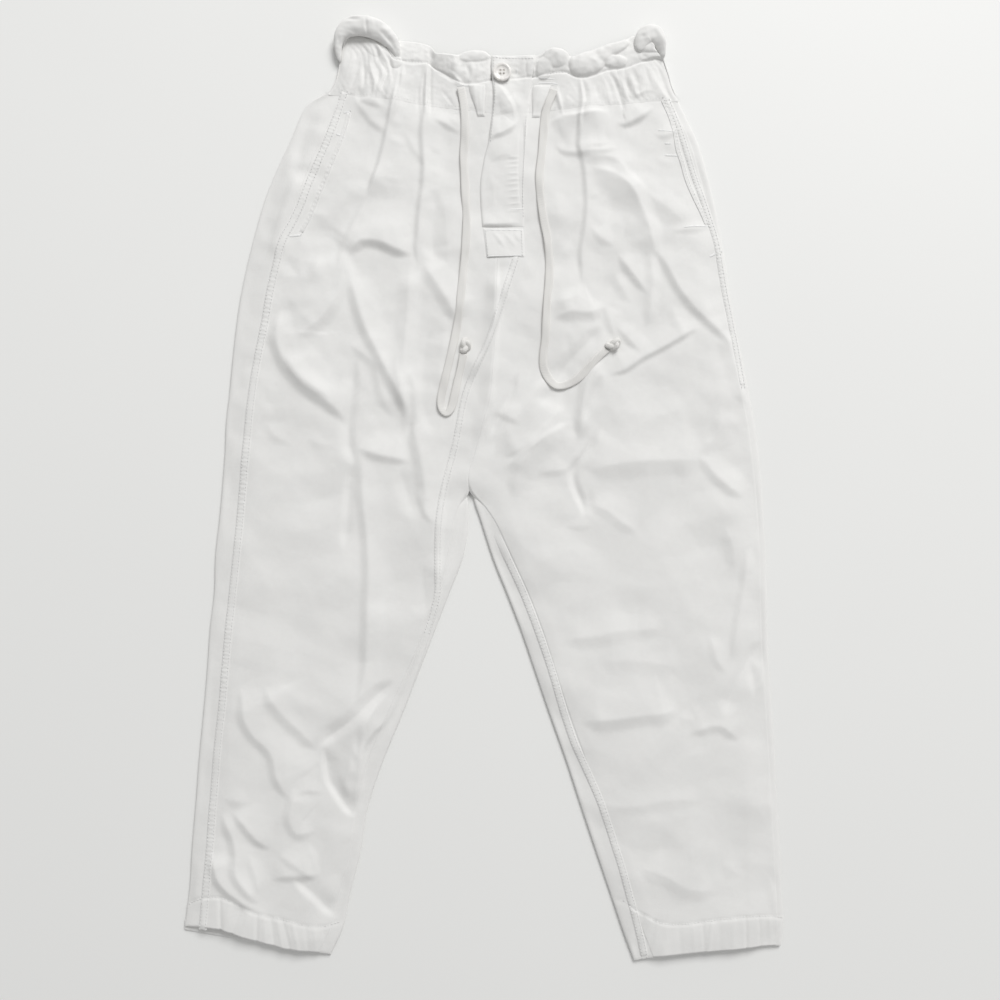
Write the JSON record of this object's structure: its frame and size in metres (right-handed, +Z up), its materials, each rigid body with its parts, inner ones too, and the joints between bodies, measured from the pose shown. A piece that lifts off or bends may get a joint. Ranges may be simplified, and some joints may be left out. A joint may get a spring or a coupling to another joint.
{
  "type": "paperbag waist trousers",
  "caption": "White cotton twill paperbag waist trousers laid flat, with a gathered casing and frill, buttoned fly, belt loops, slash pockets, tapered legs and a knotted drawstring.",
  "frame": {"origin": "middle of the outline seen from above, on the surface the trousers lie on", "axes": "+X to the viewer's right (the wearer's left), +Y from the hems to the waist, +Z up from the surface, out of the front of the trousers"},
  "size_m": [0.6076, 0.9658, 0.0177],
  "materials": {
    "twill": "matte white cotton twill",
    "cord": "matte flat woven cotton",
    "button": "satin white plastic"
  },
  "bodies": {
    "root": {"leg_front_right": "twill", "leg_front_left": "twill", "leg_back_right": "twill", "leg_back_left": "twill", "pocket_edge_right": "twill", "pocket_edge_left": "twill", "casing_front_right": "twill", "casing_front_left": "twill", "casing_back": "twill", "frill_front_right": "twill", "frill_front_left": "twill", "frill_back": "twill", "frill_curl_right": "twill", "frill_curl_left": "twill", "fly_flap": "twill", "fly_end": "twill", "belt_loop_right": "twill", "belt_loop_left": "twill", "button": "button", "drawstring_right": "cord", "drawstring_left": "cord", "drawstring_knot_right": "cord", "drawstring_knot_left": "cord"}
  },
  "joints": []
}
